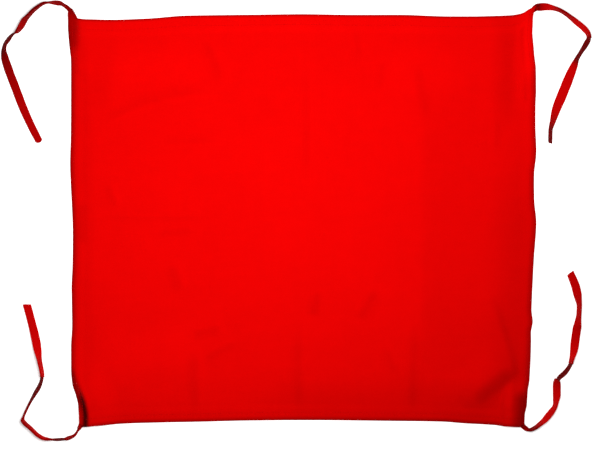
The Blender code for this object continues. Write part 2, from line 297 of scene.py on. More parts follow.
clothEdges = {
    "left": [EdgeRow(*row) for row in (
        (0.0, 0.0), (0.05, 0.0), (0.077, -2.5), (0.105, -6.6), (0.135, -7.5), (0.19, -7.2), (0.25, -5.2),
        (0.33, -5.0), (0.39, -3.2), (0.48, -2.0), (0.62, -3.5), (0.70, -1.8), (0.82, -0.3), (0.875, 0.2),
        (0.905, -1.1), (0.935, -2.2), (0.985, -2.8), (1.0, -1.0))],
    "right": [EdgeRow(*row) for row in (
        (0.0, 0.0), (0.027, 0.0), (0.055, -2.1), (0.085, -2.6), (0.112, -4.4), (0.2, -5.0), (0.225, -4.6),
        (0.25, -6.3), (0.28, -4.4), (0.34, -4.8), (0.4, -5.5), (0.48, -7.2), (0.54, -3.8), (0.6, -2.8),
        (0.65, -4.6), (0.71, -2.7), (0.85, -0.6), (0.88, 1.7), (0.91, 3.5), (0.937, 5.0), (0.965, 4.4),
        (0.985, 3.0), (1.0, 0.0))],
    "bottom": [EdgeRow(*row) for row in (
        (0.0, 0.0), (0.035, 3.0), (0.115, 6.0), (0.17, 6.8), (0.28, 7.9), (0.38, 9.1), (0.5, 9.5),
        (0.71, 8.3), (0.815, 7.4), (0.87, 5.2), (0.925, 3.5), (0.98, 0.6), (1.0, 0.0))],
    "top": [EdgeRow(*row) for row in (
        (0.0, 0.0), (0.008, 7.0), (0.018, 12.8), (0.045, 14.6), (0.095, 14.9), (0.17, 13.6), (0.25, 10.4),
        (0.38, 9.8), (0.49, 9.4), (0.61, 10.6), (0.71, 10.9), (0.81, 13.0), (0.87, 13.2), (0.945, 12.2),
        (0.97, 9.3), (0.985, 4.2), (1.0, 0.0))],
}
# A fold is a low ridge whose crest runs from one point to the next, bowed to its left or, below 0, its right.
cornerFolds = [
    Fold("topLeftPull", -269, 243, -267, 188, 1, 3.6, 34, 12),
    Fold("topRightSwell", 237, 240, 232, 150, 0, 2.6, 26, 28),
    Fold("topRightEdge", 277, 252, 275, 152, -2, 3.6, 15, 19),
    Fold("bottomLeftRoll", -271, -192, -257, -256, 6, 5.4, 36, 10),
    Fold("bottomRightSlant", 190, -224, 250, -174, 0, 4.4, 38, 30),
    Fold("bottomRightRoll", 253, -200, 248, -256, -1, 4.6, 24, 15),
]
clothFolds = [
    Fold("bottomRightLong", 229, -98, 256, -186, 2, 2.0, 12, 11),
    Fold("upperLeftArc", -252, 108, -92, 152, 14, 0.95, 12, 10),
    Fold("upperLeftDart", -123, 218, -96, 158, 3, 1.2, 10, 9),
    Fold("lowerRightStep", 134, -118, 131, -246, 0, 1.9, 15, 13),
    Fold("lowerMiddleStep", -5, -120, -6, -246, 0, 1.4, 14, 12),
    Fold("lowerLeftStep", -130, -152, -131, -246, 0, 1.5, 14, 12),
    Fold("upperRightSwell", 137, 188, 149, 112, 0, 1.5, 14, 15),
    Fold("upperRightEdge", 234, 122, 232, 78, 0, 1.2, 8, 8),
    Fold("shortBar", -172, 92, -94, 93, 0, 0.8, 8, 6),
    Fold("packingUpright", 4, 188, 5, 28, 0, 1.0, 8, 7),
    Fold("packingLevel", -252, 0, -106, 0, 0, 0.9, 6, 7),
    Fold("middleDart", 19, -86, 11, -119, 1, 1.9, 14, 13),
    Fold("middleDartRight", 87, -82, 66, -124, 2, 1.9, 15, 12),
    Fold("topCrinkle", 62, 232, 66, 178, 2, 1.2, 8, 8),
    Fold("topCrinkleRight", 96, 190, 92, 150, 0, 1.2, 8, 8),
    Fold("leftNick", -238, 42, -224, 10, 2, 0.9, 8, 8),
    Fold("leftDimple", -178, -19, -124, -16, 1, 1.05, 11, 11),
    Fold("leftDimpleLow", -158, -56, -146, -90, 0, 1.4, 13, 13),
    Fold("lowerNick", -134, -142, -94, -132, 1, 1.6, 11, 10),
    Fold("lowerSlant", -120, -172, -74, -148, 2, 1.1, 9, 10),
    Fold("lowerRightNick", 96, -150, 112, -190, 0, 1.2, 9, 8),
]
# Painted shade: places darkened where shade falls in the corners' folds and valleys and towards the sides,
# partly the deeper colour where the cloth lies double at the corners. A row's height is the share by which
# it's darker.
paintedShadeFolds = [
    Fold("leftEar", -281, 274, -278, 188, 1, 0.50, 14, 16),
    Fold("rightEarTrough", 245, 262, 244, 90, 0, 0.09, 16, 22),
    Fold("leftCornerValley", -276.5, -201, -267, -272, 9.5, 0.92, 6, 9),
    Fold("leftCornerRim", -282, -176, -272, -224, 2, 0.46, 6, 9),
    Fold("rightCornerBand", 266, -200, 260, -268, 0, 0.52, 11, 18),
    Fold("slantValley", 196, -232, 264, -176, 0, 0.28, 19, 15),
    Fold("slantTail", 162, -254, 286, -158, -3, 0.15, 24, 19),
    Fold("leftSide", -277, 330, -277, -260, 0, 0.15, 29, 26),
    Fold("leftEarSide", -250, 275, -250, 110, 0, 0.06, 28, 16),
    Fold("bottomLeftSide", -330, -262, -40, -262, 0, 0.055, 60, 30),
    Fold("bottomSide", -120, -262, 330, -262, 0, 0.17, 92, 30),
    Fold("bottomHemSide", -400, -246, 320, -246, 0, 0.11, 34, 34),
    Fold("leftMiddle", -268, 36, -268, -50, 0, 0.20, 14, 16),
    Fold("rightSide", 264, 130, 264, -330, 0, 0.12, 30, 58),
    Fold("rightHalf", 152, 200, 152, -270, 0, 0.06, 105, 15),
]
# Painted light: places made paler where a fold's flank or a broad patch of the cloth faces the light.
paintedLightFolds = [
    Fold("rightEarRidge", 270, 264, 270, 154, 0, 0.15, 14, 10),
    Fold("rightCornerRidge", 251, -194, 246, -236, 0, 0.09, 6, 8),
    Fold("upperLeftBroad", -250, 182, -105, 182, 0, 0.060, 42, 42),
    Fold("upperRightBroad", 70, 184, 215, 170, 0, 0.045, 42, 42),
    Fold("lowerLeftBroad", -262, -164, -105, -156, 0, 0.065, 44, 44),
]


def edgeInset(edge, share):
    shares, insets = zip(*clothEdges[edge])
    return smoothCurve(shares, insets, share) + clothCut["rollProud"]


def sideLength(first, second):
    return float(np.hypot(*np.subtract(clothCut["corners"][first], clothCut["corners"][second])))


clothWidth = (sideLength("topLeft", "topRight") + sideLength("bottomLeft", "bottomRight")) / 2
clothHeight = (sideLength("topLeft", "bottomLeft") + sideLength("topRight", "bottomRight")) / 2


def clothPlan(u, v):
    # where a point of the cloth lies on the floor, for shares u to the right and v upwards
    reach = clothCut["insetReach"]
    plan = np.zeros(u.shape + (2,))
    for side, share in (("Left", 1 - u), ("Right", u)):
        for end, level in (("bottom", 1 - v), ("top", v)):
            plan += (share * level)[..., None] * np.array(clothCut["corners"][end + side])
    plan[..., 0] += edgeInset("left", v) * (1 - ease(u / reach))
    plan[..., 0] -= edgeInset("right", v) * (1 - ease((1 - u) / reach))
    plan[..., 1] += edgeInset("bottom", u) * (1 - ease(v / reach))
    plan[..., 1] -= edgeInset("top", u) * (1 - ease((1 - v) / reach))
    return plan


def foldLift(plan, fold, pieces=12):
    start = np.array((fold.x0, fold.y0), float)
    run = np.array((fold.x1, fold.y1), float) - start
    leftward = np.array((-run[1], run[0])) / np.hypot(*run)
    along = np.linspace(0, 1, pieces + 1)
    crest = start + along[:, None] * run + (4 * along * (1 - along))[:, None] * fold.bow * leftward
    nearest = np.full(plan.shape[:-1], np.inf)
    lean = np.zeros_like(nearest)
    share = np.zeros_like(nearest)
    for i in range(pieces):
        step = crest[i + 1] - crest[i]
        away = plan - crest[i]
        t = np.clip((away @ step) / (step @ step), 0, 1)
        off = away - t[..., None] * step
        distance = np.hypot(off[..., 0], off[..., 1])
        closer = distance < nearest
        nearest = np.where(closer, distance, nearest)
        cross = (step[0] * away[..., 1] - step[1] * away[..., 0]) / np.hypot(*step)
        lean = np.where(closer, cross / np.maximum(distance, 1e-6), lean)
        share = np.where(closer, (i + t) / pieces, share)
    reach = fold.right + (fold.left - fold.right) * ease(0.5 + 0.5 * lean)
    flank = np.clip(nearest / reach, 0, 1)
    if fold.height < lowFold["below"]:
        ends = ease(share / lowFold["fade"]) * ease((1 - share) / lowFold["fade"])
    else:
        ends = ease(share / tallFold["fade"] + tallFold["start"])
    return fold.height * ends * (1 - flank ** 2) ** 2


def cornerLift(plan):
    # where two of the corners' folds meet they run into each other softly
    return np.cbrt(np.sum([foldLift(plan, fold) ** 3 for fold in cornerFolds], axis=0))


def rumpleLift(plan):
    # loose low swells where the cloth doesn't lie tight on the floor
    lift = np.zeros(plan.shape[:-1])
    for height, length in clothCut["rumple"]:
        swell = [noise.noise(Vector((x / length, y / length, height))) for x, y in plan.reshape(-1, 2)]
        lift += height * np.array(swell).reshape(lift.shape)
    return (np.sqrt(lift ** 2 + clothCut["rumpleSoftness"]) + lift) / 2


def edgeDistances(u, v):
    return {"left": u * clothWidth, "right": (1 - u) * clothWidth,
            "bottom": v * clothHeight, "top": (1 - v) * clothHeight}


def hemLift(u, v):
    toEdge = edgeDistances(u, v)
    overHem = np.max([
        1 - ease((distance - clothCut["hemWidths"][edge] - clothCut["hemShoulder"]) / clothCut["hemFall"])
        for edge, distance in toEdge.items()], axis=0)
    toSide = np.minimum(toEdge["left"], toEdge["right"])
    toEnd = np.minimum(toEdge["bottom"], toEdge["top"])
    near, far = clothCut["openCorner"]
    turned = ease((np.hypot(toSide, toEnd) - near) / (far - near))
    rim = np.clip(np.minimum(toSide, toEnd) / clothCut["rollWidth"], 0, 1)
    rolled = np.sqrt(np.maximum(1 - (1 - rim) ** 2, 0))
    return clothCut["hemStep"] * overHem * (1 - turned * (1 - rolled))


def clothSurface(u, v):
    # the cloth's underside, in millimetres
    plan = clothPlan(u, v)
    folds = cornerLift(plan)
    creases = np.sum([foldLift(plan, fold) for fold in clothFolds], axis=0)
    reach, start = clothCut["creaseFade"]
    inner = ease(np.min(list(edgeDistances(u, v).values()), axis=0) / reach - start)
    height = folds + creases * inner + rumpleLift(plan) * inner + hemLift(u, v)
    return np.dstack((plan, height)) if u.ndim == 2 else np.column_stack((plan, height))


def clothStations(length):
    edge = list(clothCut["rimSteps"])
    while edge[-1] < clothCut["fineReach"]:
        edge.append(edge[-1] + clothCut["fineStep"])
    far = [length - mark for mark in reversed(edge)]
    count = int(round((far[0] - edge[-1]) / clothCut["wideStep"]))
    return np.concatenate((edge, np.linspace(edge[-1], far[0], count + 1)[1:-1], far))


def smoothPiece(name, mesh):
    mesh.polygons.foreach_set("use_smooth", [True] * len(mesh.polygons))
    piece = bpy.data.objects.new(name, mesh)
    bpy.context.scene.collection.objects.link(piece)
    return piece


def setMarks(mesh, marks):
    for mark, values in marks.items():
        attribute = mesh.attributes.new(mark, "FLOAT", "POINT")
        attribute.data.foreach_set("value", values.astype(np.float32).ravel())


def gridMesh(name, points, cut, marks=None):
    # a sheet of quads over a grid of points in millimetres, with its flat cut as UV and marks per point
    rows, columns = points.shape[:2]
    index = np.arange(rows * columns).reshape(rows, columns)
    faces = np.stack((index[:-1, :-1], index[:-1, 1:], index[1:, 1:], index[1:, :-1]), axis=-1).reshape(-1, 4)
    mesh = bpy.data.meshes.new(name)
    mesh.from_pydata((points.reshape(-1, 3) * mm).tolist(), [], faces.tolist())
    layer = mesh.uv_layers.new(name="cut")
    layer.data.foreach_set("uv", (cut.reshape(-1, 2)[faces.reshape(-1)] * mm).astype(np.float32).ravel())
    setMarks(mesh, marks or {})
    return smoothPiece(name, mesh)


def thicken(piece, thickness):
    bpy.ops.object.select_all(action="DESELECT")
    bpy.context.view_layer.objects.active = piece
    piece.select_set(True)
    wall = piece.modifiers.new("wall", "SOLIDIFY")
    wall.thickness = thickness * mm
    wall.offset = 1
    bpy.ops.object.modifier_apply(modifier=wall.name)
    piece.data.polygons.foreach_set("use_smooth", [True] * len(piece.data.polygons))
    piece.data.set_sharp_from_angle(angle=math.radians(clothCut["sharpAngle"]))


clothLook = {
    "colour": (0.64, 0.0006, 0.0005),
    "threadPitch": 0.36,
    "reliefDepth": 0.07,
    "slubRelief": 0.6,
    "fuzzRelief": 0.5,
    "weaveMiddle": 0.6,
    "weaveTone": 0.10,
    "slubTone": 0.045,
    "cloudTone": 0.08,
    "patchTone": 0.065,
    "streakTone": 0.032,
    # each mark darkens the dye by its share as painted shade; the paler mark's amount below 0 lightens it as
    # painted light
    "paintedShading": {"rim": 0.38, "creaseShade": 0.30, "deep": 1.0, "paintedLight": -1.0, "shade": 0.045},
    "puckers": (("seamAcross", "across", 5.2, 0.7), ("seamAlong", "along", 5.2, 0.7)),
    "roughness": 0.88,
    "slubRoughness": 0.12,
    "specular": 0.20,
    "shine": (0.95, 0.012, 0.010),
    "sheen": 0.20,
    "sheenRoughness": 0.45,
}
seam = {
    "inside": 1.7,           # from the hem's inner side to the stitch row
    "spread": 4.0,           # how far its puckers reach
}


def seamNearness(u, v, edges):
    distances = edgeDistances(u, v)
    return np.max([
        1 - ease(np.abs(distances[edge] - clothCut["hemWidths"][edge] + seam["inside"]) / seam["spread"])
        for edge in edges], axis=0)


def makeCloth():
    acrossMarks = clothStations(clothWidth)
    alongMarks = clothStations(clothHeight)
    u, v = np.meshgrid(acrossMarks / clothWidth, alongMarks / clothHeight)
    points = clothSurface(u, v)
    cut = np.dstack((u * clothWidth, v * clothHeight))
    distances = edgeDistances(u, v)
    toEdge = np.min(list(distances.values()), axis=0)
    slope = np.hypot(*np.gradient(points[..., 2], alongMarks, acrossMarks))
    plan = points[..., :2]
    # painted light: paler strips where folds and patches face the light
    paintedLight = np.max([foldLift(plan, fold) for fold in paintedLightFolds], axis=0)
    # painted shade along the sides, partly the doubled hem's deeper colour, less where painted light lies
    rim = np.max([1 - ease(distances[edge] / reach) for edge, reach in clothCut["rimShade"].items()], axis=0)
    steep, steeper = clothCut["creaseSlope"]
    narrower = clothCut["shadeSpread"]
    shades = [fold._replace(left=fold.left * narrower, right=fold.right * narrower) for fold in clothFolds]
    marks = {
        "rim": rim * np.maximum(1 - clothCut["paintedLightOverRim"] * paintedLight, 0),
        # painted shade on the creases' steep slopes
        "creaseShade": ease((slope - steep) / steeper) * ease(toEdge / clothCut["creaseInside"] - 1),
        # painted shade in the corners' folds and valleys and towards the sides
        "deep": np.max([foldLift(plan, fold) for fold in paintedShadeFolds], axis=0),
        "paintedLight": paintedLight,
        "shade": np.sum([foldLift(plan, fold) for fold in shades], axis=0),
        "seamAcross": seamNearness(u, v, ("top", "bottom")),
        "seamAlong": seamNearness(u, v, ("left", "right")),
    }
    cloth = gridMesh("cloth", points, cut, marks)
    thicken(cloth, clothCut["thickness"])
    cloth.data.materials.append(cottonMaterial("redCotton", clothLook))
    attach(cloth, "root")
    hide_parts("panel")
    return cloth


cloth = makeCloth()
print("cloth made,", len(cloth.data.polygons), "faces")


# Turned hems: a strip of the same cotton folded under each edge
hemCut = {
    "thickness": 1.2,
    "outer": 2.2,
    "runs": {"left": (64.0, 482.0), "right": (52.0, 480.0), "bottom": (26.0, 508.0), "top": (26.0, 518.0)},
    "foldRadius": 0.35,
    "foldSegments": 3,
    "foldAngle": 60,
    "rows": 9,
    "step": 3.0,
}
hemLook = dict(clothLook, colour=(0.52, 0.0012, 0.0010), paintedShading={}, puckers=())


def hemPlace(edge, along, deep):
    # shares of the cloth for a place along one edge and so deep inside it
    if edge in ("left", "right"):
        u = deep / clothWidth
        return (u if edge == "left" else 1 - u), along / clothHeight
    v = deep / clothHeight
    return along / clothWidth, (v if edge == "bottom" else 1 - v)


def makeHem(edge):
    low, high = hemCut["runs"][edge]
    deep = np.linspace(hemCut["outer"], clothCut["hemWidths"][edge], hemCut["rows"])
    along = np.linspace(low, high, int((high - low) / hemCut["step"]))
    alongGrid, deepGrid = np.meshgrid(along, deep)
    u, v = hemPlace(edge, alongGrid, deepGrid)
    plan = clothPlan(u, v)
    folds = cornerLift(plan)
    cut = np.dstack((alongGrid, deepGrid))
    points = np.dstack((plan, folds))
    if edge in ("left", "top"):      # keeps the strip's lower side facing down
        points, cut = points[::-1], cut[::-1]
    hem = gridMesh("hem" + edge.capitalize(), points, cut)
    thicken(hem, hemCut["thickness"])
    rounding = hem.modifiers.new("foldedEdge", "BEVEL")
    rounding.width = hemCut["foldRadius"] * mm
    rounding.segments = hemCut["foldSegments"]
    rounding.limit_method = "ANGLE"
    rounding.angle_limit = math.radians(hemCut["foldAngle"])
    bpy.ops.object.modifier_apply(modifier=rounding.name)
    hem.data.materials.append(cottonMaterial("redHem" + edge.capitalize(), hemLook))
    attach(hem, "root")
    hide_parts("hem_" + edge)
    return hem


hems = [makeHem(edge) for edge in clothCut["hemWidths"]]
print("hems made")


# Ties: narrow tapes of folded cotton, stitched down one side
TieRow = namedtuple("TieRow", "x y turn width shade")
TapeRow = namedtuple("TapeRow", "share offset lift")

tieRoutes = {
    "topLeft": [TieRow(*row) for row in (
        (-274, 237, 0, 7, 0), (-278.5, 246, 0, 6.5, 0.35), (-283.5, 253, 24, 5.6, 0.55),
        (-289, 256.8, 62, 8.5, 0.55), (-294, 258.8, 48, 10, 0.36), (-303, 259.7, 62, 10.5, 0.3),
        (-310, 259.2, 84, 10.5, 0.55), (-322.4, 252.2, 92, 10.5, 0.65), (-331.8, 242.7, 102, 10.5, 0.62),
        (-335.9, 238, 120, 10.5, 0.5), (-339.4, 231.9, 124, 10.5, 0.35), (-343.8, 225.4, 98, 10.5, 0.5),
        (-351.4, 219.6, 58, 10.5, 0.72), (-355.4, 214.7, 50, 10.5, 0.6), (-359.6, 207.9, 54, 10.5, 0.55),
        (-360.8, 201, 44, 10.5, 0.68), (-360, 194, 23, 10.5, 0.5), (-356, 180, 4, 10.5, 0.36),
        (-348.4, 159.8, 2, 10.5, 0.18), (-338, 132.5, 0, 10.2, 0.02), (-329, 112.5, 0, 9.5, 0),
        (-318, 91, 0, 9, 0))],
    "topRight": [TieRow(*row) for row in (
        (265, 240, 0, 7, 0), (276, 250, 0, 6.5, 0.4), (283.5, 254.5, 6, 9, 0.55),
        (290.5, 254.5, 34, 10, 0.28), (297.4, 253.5, 56, 10, 0.1), (304.3, 251.8, 74, 10, 0.4),
        (310.6, 249.3, 84, 10, 0.6), (322.4, 241.3, 74, 10, 0.45), (328.4, 236.4, 62, 10, 0.18),
        (339.1, 227.2, 62, 10.5, 0.1), (343.1, 221.6, 76, 10.5, 0.3), (344.1, 217.3, 78, 10.5, 0.6),
        (344, 216.0, 126, 10.5, 0.72), (341.1, 210.1, 133, 10.5, 0.75), (333.4, 197.9, 121, 10.5, 0.78),
        (329.8, 191.6, 128, 10.5, 0.75), (326.8, 183.9, 154, 10.5, 0.1), (323.2, 175, 178, 11, 0),
        (317.4, 161, 187, 12, 0), (310.9, 144.6, 183, 12, 0), (305.3, 131, 166, 11.4, 0),
        (300.9, 117, 138, 11, 0.25), (297.9, 105.2, 127, 10.5, 0.72), (297.5, 90, 122, 10.5, 0.72))],
    "bottomLeft": [TieRow(*row) for row in (
        (-262, -238, 0, 7, 0), (-268.5, -250, 0, 6, 0.4), (-271.8, -256.2, 60, 5.4, 0.45),
        (-275.6, -261.8, 80, 8.5, 0.45), (-282.8, -265, 74, 10, 0.5), (-290.3, -266.4, 112, 10.5, 0.72),
        (-297.1, -267, 113, 10.5, 0.65), (-304.3, -266.7, 97, 10.5, 0.45), (-311.7, -265.7, 88, 10.5, 0.2),
        (-318.4, -262.4, 87, 10.5, 0.25), (-329.1, -252.6, 86, 10.5, 0.35), (-334.8, -247.7, 84, 10.5, 0.45),
        (-338, -243, 88, 10.5, 0.45), (-336, -237.2, 100, 10.5, 0.4), (-329.4, -223, 104, 10.5, 0.65),
        (-322.6, -210.7, 120, 10.5, 0.75), (-318.6, -204.2, 123, 10.5, 0.75),
        (-315.7, -197.2, 118, 10.5, 0.7), (-314.8, -192.7, 119, 10.5, 0.6),
        (-314.7, -191.7, 117, 10.5, 0.5), (-314.5, -190.5, 78, 10.5, 0.3), (-314.4, -189.4, 77, 10.5, 0.2),
        (-315.3, -182.9, 76, 10.5, 0.1), (-317.2, -173.9, 73, 10.5, 0.2), (-319.4, -162.4, 47, 10.5, 0),
        (-322.5, -147.9, 14, 10.5, 0), (-329.5, -120, 0, 10, 0), (-333.8, -104, 0, 10, 0))],
    "bottomRight": [TieRow(*row) for row in (
        (259, -242, 0, 7, 0), (266.5, -252.5, 0, 6, 0.3), (273, -255.4, -72, 7.5, 0.7),
        (279.5, -252.5, -80, 10, 0.6), (284.9, -248.3, -76, 10.5, 0.25), (290.3, -243.8, -64, 10.5, 0),
        (295.2, -238.4, -54, 10.5, 0), (299.4, -233, -59, 10.5, 0.05), (303.4, -226.2, -72, 10.5, 0.05),
        (304.6, -219.3, -55, 10.5, 0.05), (305.6, -212.5, -36, 10.5, 0.05), (305.6, -205, -36, 10.5, 0.15),
        (305.6, -198.8, -42, 10.5, 0.3), (305.9, -196.4, -52, 10.5, 0.42),
        (306.4, -195.2, -54, 10.5, 0.5), (307.2, -194.2, -128, 10.5, 0.72),
        (308.7, -192.2, -130, 10.5, 0.72), (314.5, -187.2, -133, 10.5, 0.7),
        (318.9, -181.7, -129, 10.5, 0.72), (321.9, -176.2, -126, 10.5, 0.68),
        (322.1, -175.6, -124, 10.5, 0.6), (322.4, -174.4, -73, 10.5, 0.35), (322.7, -172.8, -74, 10.5, 0.3),
        (324, -167.9, -65, 10.5, 0), (326.5, -158, -36, 10.5, 0.05), (328.3, -147.5, -4, 10.5, 0.12),
        (329.9, -136.5, -6, 10.5, 0.2), (330.9, -126, -52, 10.5, 0.26), (332, -115.5, -71, 10.5, 0.32),
        (332.4, -106, -68, 10.5, 0.32), (331.4, -97.5, -48, 10.5, 0.28), (329.3, -85, -12, 10.5, 0.2),
        (322.3, -66, 0, 9.5, 0.2))],
}
tieNodes = {"topLeft": "tie_top_left", "topRight": "tie_top_right",
            "bottomLeft": "tie_bottom_left", "bottomRight": "tie_bottom_right"}
# the end's slant in degrees, how round it's cut, and how frayed in millimetres
tieEnds = {
    "topLeft": {"slant": 0, "round": 0.9, "frayed": 0.2},
    "topRight": {"slant": -8, "round": 0.2, "frayed": 1.6},
    "bottomLeft": {"slant": 14, "round": 0.1, "frayed": 0.3},
    "bottomRight": {"slant": -18, "round": 0.15, "frayed": 0.3},
}
tieCut = {
    "thickness": 1.2,
    "opened": 1.5,           # the folded tape opens a little where it stands on its edge
    "twistOpened": 2.1,      # and more where it's folded over at once
    "twistRate": (12, 20),   # degrees for a millimetre where that starts, and how many more till it's full
    "openedPower": 20,
    "twistPower": 6,
    "wobble": (0.035, 9),    # uneven folding: a share of the tape's width, and the length of a swell
    "flutter": (3, 14),      # uneven lying: degrees of turn, and the length of a swell
    "floatGap": 0.05,
    "step": 0.6,
    "endReach": 9.0,
    "endBulge": 0.98,
    "frayPitch": 3.1,
    "seamOffset": -1.8,
    "seamSpread": 1.6,
    "sharpAngle": 55,
    # the tape's upper half, from its folded side to its open side; lift is a share of half its thickness
    "section": [TapeRow(*row) for row in (
        (-0.5, 0.0, 0.0), (-0.5, 0.10, 0.5), (-0.5, 0.38, 0.86), (-0.5, 1.0, 1.02), (-0.25, 0.0, 1.08),
        (0.0, 0.0, 1.0), (0.2, 0.0, 1.04), (0.5, -2.7, 1.06), (0.5, -2.2, 0.9), (0.5, -1.8, 0.72),
        (0.5, -1.4, 0.88), (0.5, -0.9, 1.0), (0.5, -0.35, 0.88), (0.5, -0.05, 0.55), (0.5, -0.12, 0.16),
        (0.5, -0.6, 0.0))],
}
# one tape in all four ties; its colour differs from tie to tie as painted light and shade
tieLooks = {
    "topLeft": (0.34, 0.0009, 0.0010),
    "topRight": (0.50, 0.0009, 0.0010),
    "bottomLeft": (0.48, 0.0009, 0.0010),
    "bottomRight": (0.56, 0.0009, 0.0010),
}


def tieLook(name):
    # the tape darkens by the route's painted shade, kept in the mark named turned
    return dict(clothLook, colour=tieLooks[name], reliefDepth=0.09, weaveTone=0.14, slubTone=0.16,
                paintedShading={"turned": 1.0}, puckers=(("seamAlong", "along", 2.7, 1.6),),
                sheen=0.10, specular=0.08)


def tieRoute(rows):
    route = np.array([(row.x, row.y) for row in rows], float)
    travelled = np.concatenate(([0], np.cumsum(np.hypot(*np.diff(route, axis=0).T))))
    sections = int(travelled[-1] / tieCut["step"])
    at = np.linspace(0, travelled[-1], sections)
    centre = np.column_stack([smoothCurve(travelled, route[:, axis], at) for axis in (0, 1)])
    turn = np.radians(smoothCurve(travelled, [row.turn for row in rows], at))
    width = smoothCurve(travelled, [row.width for row in rows], at)
    shade = smoothCurve(travelled, [row.shade for row in rows], at)
    uneven, swell = tieCut["wobble"]
    wobble = np.array([noise.noise(Vector((s / swell, rows[0].x, 0))) for s in at])
    width = width * (1 + uneven * wobble)
    degrees, swell = tieCut["flutter"]
    flutter = np.array([noise.noise(Vector((s / swell, rows[0].y, 5))) for s in at])
    turn = turn + np.radians(degrees) * flutter
    heading = np.gradient(centre, axis=0)
    heading /= np.hypot(*heading.T)[:, None]
    heading = np.column_stack((heading, np.zeros(sections)))
    leftward = np.column_stack((-heading[:, 1], heading[:, 0], np.zeros(sections)))
    upward = np.array((0.0, 0.0, 1.0))
    cosTurn, sinTurn = np.cos(turn)[:, None], np.sin(turn)[:, None]
    across = cosTurn * leftward + sinTurn * upward
    normal = cosTurn * upward - sinTurn * leftward
    first, further = tieCut["twistRate"]
    twisted = ease((np.abs(np.gradient(np.degrees(turn), at)) - first) / further)
    onEdge, flat = np.abs(np.sin(turn)), np.abs(np.cos(turn))
    thick = tieCut["thickness"] * (1 + tieCut["opened"] * onEdge ** tieCut["openedPower"]
                                   + tieCut["twistOpened"] * twisted * onEdge ** tieCut["twistPower"])
    highest = max(row.lift for row in tieCut["section"])
    stand = width / 2 * onEdge + thick / 2 * highest * flat + tieCut["floatGap"]
    middle = np.column_stack((centre, stand))
    return {"at": at, "middle": middle, "heading": heading, "across": across, "normal": normal,
            "width": width, "thick": thick, "shade": shade}


def makeTie(name):
    route = tieRoute(tieRoutes[name])
    rows = tieCut["section"]
    loop = [(row.share, row.offset, row.lift) for row in rows]
    loop += [(row.share, row.offset, -row.lift) for row in rows[-2:0:-1]]
    share = np.array([point[0] for point in loop])
    offset = np.array([point[1] for point in loop])
    lift = np.array([point[2] for point in loop]) * route["thick"][:, None] / 2
    reach = share * route["width"][:, None] + offset
    places = (route["middle"][:, None] + reach[..., None] * route["across"][:, None]
              + lift[..., None] * route["normal"][:, None])
    end = tieEnds[name]
    free = ease((route["at"] - route["at"][-1]) / tieCut["endReach"] + 1)
    side = np.clip(reach / (route["width"][:, None] / 2), -1, 1)
    ragged = np.array([noise.noise(Vector((s * tieCut["frayPitch"], 7.0, share[0]))) for s in side[-1]])
    push = (math.tan(math.radians(end["slant"])) * reach
            - end["round"] * (1 - np.sqrt(1 - tieCut["endBulge"] * side ** 2)) * route["width"][:, None] / 2
            + end["frayed"] * ragged)
    places += (push * free[:, None])[..., None] * route["heading"][:, None]

    sections, points = reach.shape
    index = np.arange(sections * points).reshape(sections, points)
    after = np.roll(index, -1, axis=1)
    faces = np.stack((index[:-1], after[:-1], after[1:], index[1:]), axis=-1).reshape(-1, 4).tolist()
    top = len(rows)
    for ring in (index[0], index[-1]):        # both cut ends, closed between upper and lower half
        lower = [ring[0]] + [ring[-i] for i in range(1, top - 1)] + [ring[top - 1]]
        faces.append([ring[0], ring[1], lower[1]])
        faces += [[ring[i], ring[i + 1], lower[i + 1], lower[i]] for i in range(1, top - 2)]
        faces.append([ring[top - 2], ring[top - 1], lower[top - 2]])
    mesh = bpy.data.meshes.new("tie" + name)
    mesh.from_pydata((places.reshape(-1, 3) * mm).tolist(), [], faces)
    shaper = bmesh.new()
    shaper.from_mesh(mesh)
    bmesh.ops.recalc_face_normals(shaper, faces=shaper.faces)
    shaper.to_mesh(mesh)
    shaper.free()
    cut = np.dstack((reach, np.broadcast_to(route["at"][:, None], reach.shape))).reshape(-1, 2) * mm
    layer = mesh.uv_layers.new(name="cut")
    corners = np.zeros(len(mesh.loops), int)
    mesh.loops.foreach_get("vertex_index", corners)
    layer.data.foreach_set("uv", cut[corners].astype(np.float32).ravel())
    seamShare = 1 - ease(np.abs(offset - tieCut["seamOffset"]) / tieCut["seamSpread"])
    seamShare = np.where(share == share.max(), seamShare, 0.0)      # only on the tape's open side
    # painted shade along the tape, where a stretch leans away from the light
    setMarks(mesh, {"turned": np.broadcast_to(route["shade"][:, None], reach.shape),
                    "seamAlong": np.broadcast_to(seamShare, reach.shape)})
    tie = smoothPiece("tie" + name[0].upper() + name[1:], mesh)
    mesh.set_sharp_from_angle(angle=math.radians(tieCut["sharpAngle"]))
    tie.data.materials.append(cottonMaterial("redTape" + name, tieLook(name)))
    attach(tie, "root")
    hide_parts(tieNodes[name])
    return route


routes = {name: makeTie(name) for name in tieRoutes}
print("ties made")


# Stitches: one plump stitch, copied along every seam
stitchCut = {
    "hemPitch": 3.2, "hemLength": 2.3, "hemThread": 0.42,
    "tiePitch": 2.7, "tieLength": 1.9, "tieThread": 0.36,
    "tackThread": 0.5,
    "hemMargin": 9.0,        # bare at both ends of a hem
    "tieStart": 16.0, "tieStop": 8.0,       # bare at a tie's sewn end and at its free end
    "tieSunk": 0.72,         # how high on the tape's half thickness its stitches lie
    "tackPitch": 0.62, "tackSlant": 0.3, "tackProud": 0.12,
}
threadGrain = {"twists": 2400, "tone": 0.5, "specular": 0.15}
threadLook = {"colour": (0.50, 0.0014, 0.0014), "roughness": 0.6}
tackLook = {"colour": (0.07, 0.0010, 0.0014), "roughness": 0.7}


